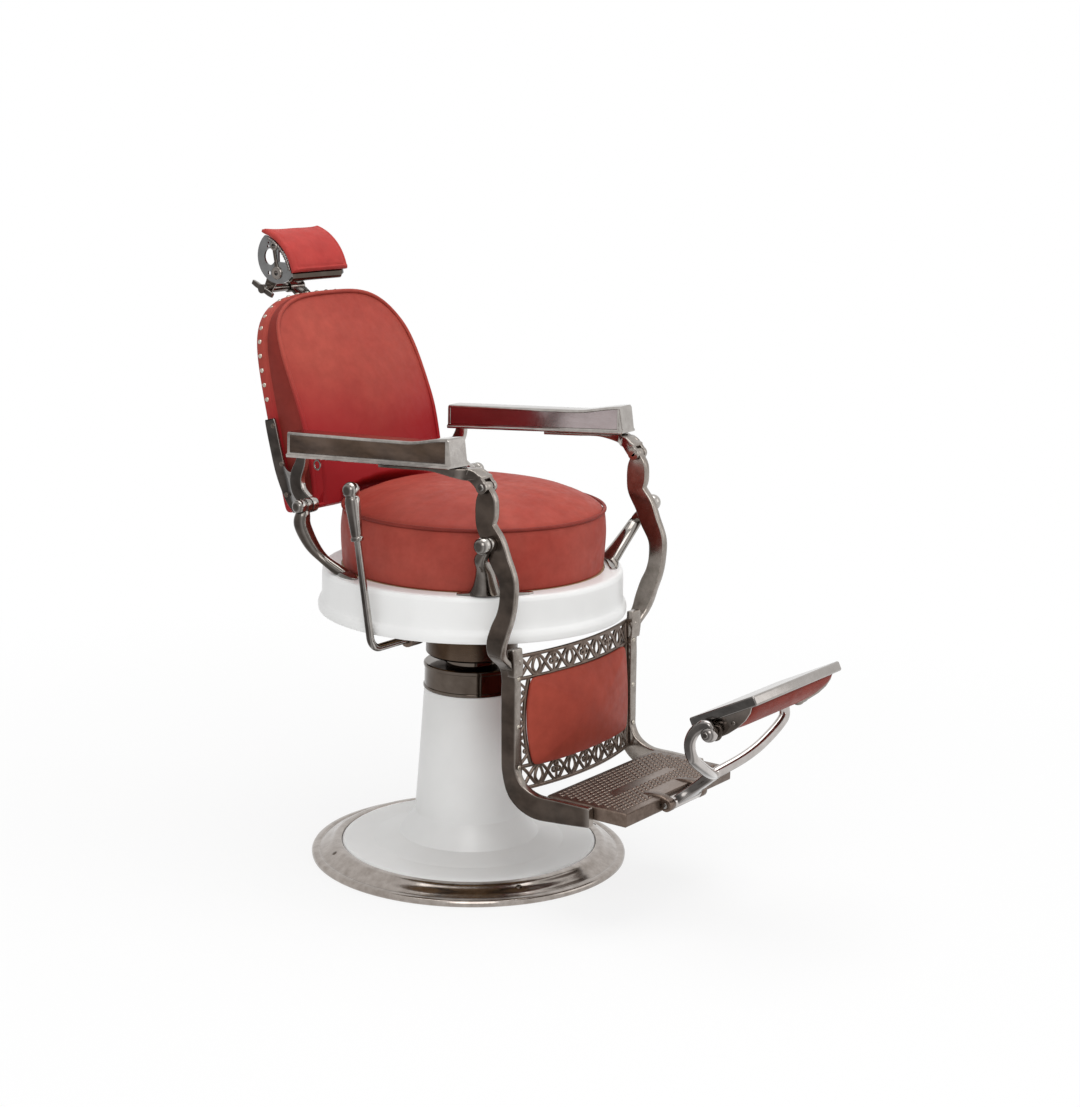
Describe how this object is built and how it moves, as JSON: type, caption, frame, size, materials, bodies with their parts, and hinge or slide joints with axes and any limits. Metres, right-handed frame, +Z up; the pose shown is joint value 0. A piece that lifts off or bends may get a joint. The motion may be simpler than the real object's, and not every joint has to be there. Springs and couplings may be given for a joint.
{
  "type": "barber chair",
  "caption": "Hydraulic barber chair with a round padded seat, reclining back, level arms, swinging leg rest, folding foot pad, adjustable headrest and a flared pedestal.",
  "frame": {"origin": "on the floor, under the column's axis", "axes": "+Z up, the sitter faces -Y, and the sitter's right hand with the pump lever is at -X"},
  "size_m": [0.6225, 1.1939, 1.1827],
  "materials": {
    "white_enamel": "gloss enamel",
    "polished_nickel": "polished, worn",
    "worn_nickel_iron": "worn nickel plate",
    "brown_cast_iron": "worn, browned",
    "bright_steel": "ground",
    "dark_bronze": "dark, oily",
    "red_leather": "worn, matt",
    "seal_rubber": "matt",
    "ash_wood": "bare"
  },
  "bodies": {
    "base": {"base_ring": "polished_nickel", "base_column": "white_enamel", "pump_cylinder": "brown_cast_iron", "gland_collar": "polished_nickel", "guide_bush": "dark_bronze"},
    "ram": {"lift_ram": "bright_steel", "cup_seal": "seal_rubber"},
    "seat": {"seat_spider": "dark_bronze", "seat_ring": "white_enamel", "seat_board": "ash_wood", "seat_cushion": "red_leather", "front_stand_right": "polished_nickel", "front_stand_left": "polished_nickel", "rear_stand_right": "polished_nickel", "rear_stand_left": "polished_nickel", "leg_pivot_bolt_right": "polished_nickel", "leg_pivot_bolt_left": "polished_nickel", "back_pivot_bolt_right": "polished_nickel", "back_pivot_bolt_left": "polished_nickel", "lever_bearing": "brown_cast_iron"},
    "lever": {"lever_rod": "polished_nickel", "lever_grip": "polished_nickel"},
    "back": {"back_board": "ash_wood", "back_cushion": "red_leather", "back_rear_panel": "red_leather", "back_iron_right": "polished_nickel", "back_iron_left": "polished_nickel", "arm_rear_pin_right": "bright_steel", "arm_rear_pin_left": "bright_steel", "headrest_socket": "polished_nickel"},
    "arm_right": {"armrest_right": "polished_nickel", "arm_bracket_right": "polished_nickel", "strop_ring": "polished_nickel"},
    "arm_left": {"armrest_left": "polished_nickel", "arm_bracket_left": "polished_nickel"},
    "leg_frame": {"leg_iron_right": "worn_nickel_iron", "leg_iron_left": "worn_nickel_iron", "arm_front_pin_right": "bright_steel", "arm_front_pin_left": "bright_steel", "leg_panel": "brown_cast_iron", "leg_pad": "red_leather", "foot_platform": "brown_cast_iron", "yoke_pin": "bright_steel"},
    "foot_yoke": {"foot_yoke": "polished_nickel", "foot_pad_bolt_right": "polished_nickel", "foot_pad_bolt_left": "polished_nickel"},
    "foot_pad": {"foot_pad_tray": "polished_nickel", "foot_pad_cushion": "red_leather", "foot_pad_cheek_right": "polished_nickel", "foot_pad_cheek_left": "polished_nickel"},
    "headrest_post": {"headrest_bar": "polished_nickel"},
    "headrest": {"headrest_plate_right": "polished_nickel", "headrest_plate_left": "polished_nickel", "headrest_hinge_rod": "polished_nickel", "headrest_front_bar": "worn_nickel_iron", "headrest_pad": "red_leather"},
    "clamp": {"clamp_screw": "polished_nickel"}
  },
  "joints": [
    {"name": "lift", "type": "slide", "parent": "base", "child": "ram", "axis": [0, 0, 1], "range_m": [0, 0.18]},
    {"name": "swivel", "type": "hinge", "parent": "ram", "child": "seat", "pos_m": [0, 0, 0.4003], "axis": [0, 0, 1], "continuous": true},
    {"name": "pump_lever", "type": "hinge", "parent": "seat", "child": "lever", "pos_m": [0, -0.003, 0.4662], "axis": [1, 0, 0], "range_deg": [-8, 35]},
    {"name": "recline", "type": "hinge", "parent": "seat", "child": "back", "pos_m": [0, 0.198, 0.698], "axis": [-1, 0, 0], "range_deg": [0, 40]},
    {"name": "leg_swing", "type": "hinge", "parent": "seat", "child": "leg_frame", "pos_m": [0, -0.22595, 0.6832], "axis": [-1, 0, 0], "range_deg": [0, 40]},
    {"name": "arm_right_level", "type": "hinge", "parent": "back", "child": "arm_right", "pos_m": [0, 0.2156, 0.7962], "axis": [-1, 0, 0], "range_deg": [-40, 0]},
    {"name": "arm_left_level", "type": "hinge", "parent": "back", "child": "arm_left", "pos_m": [0, 0.2156, 0.7962], "axis": [-1, 0, 0], "range_deg": [-40, 0]},
    {"name": "yoke_fold", "type": "hinge", "parent": "leg_frame", "child": "foot_yoke", "pos_m": [0, -0.48645, 0.212], "axis": [-1, 0, 0], "range_deg": [0, 70]},
    {"name": "foot_pad_tilt", "type": "hinge", "parent": "foot_yoke", "child": "foot_pad", "pos_m": [0, -0.62995, 0.3965], "axis": [1, 0, 0], "range_deg": [0, 60]},
    {"name": "headrest_height", "type": "slide", "parent": "back", "child": "headrest_post", "axis": [0, 0.2504, 0.9681], "range_m": [0, 0.12]},
    {"name": "headrest_tilt", "type": "hinge", "parent": "headrest_post", "child": "headrest", "pos_m": [0, 0.45296, 1.06876], "axis": [-1, 0, 0], "range_deg": [-6, 35]},
    {"name": "clamp_turn", "type": "hinge", "parent": "headrest", "child": "clamp", "pos_m": [0, 0.45296, 1.06876], "axis": [-1, 0, 0], "range_deg": [0, 120]}
  ],
  "couplings": [
    {"joint": "leg_swing", "follows": "recline", "ratio": 1},
    {"joint": "arm_right_level", "follows": "recline", "ratio": -1},
    {"joint": "arm_left_level", "follows": "recline", "ratio": -1}
  ]
}
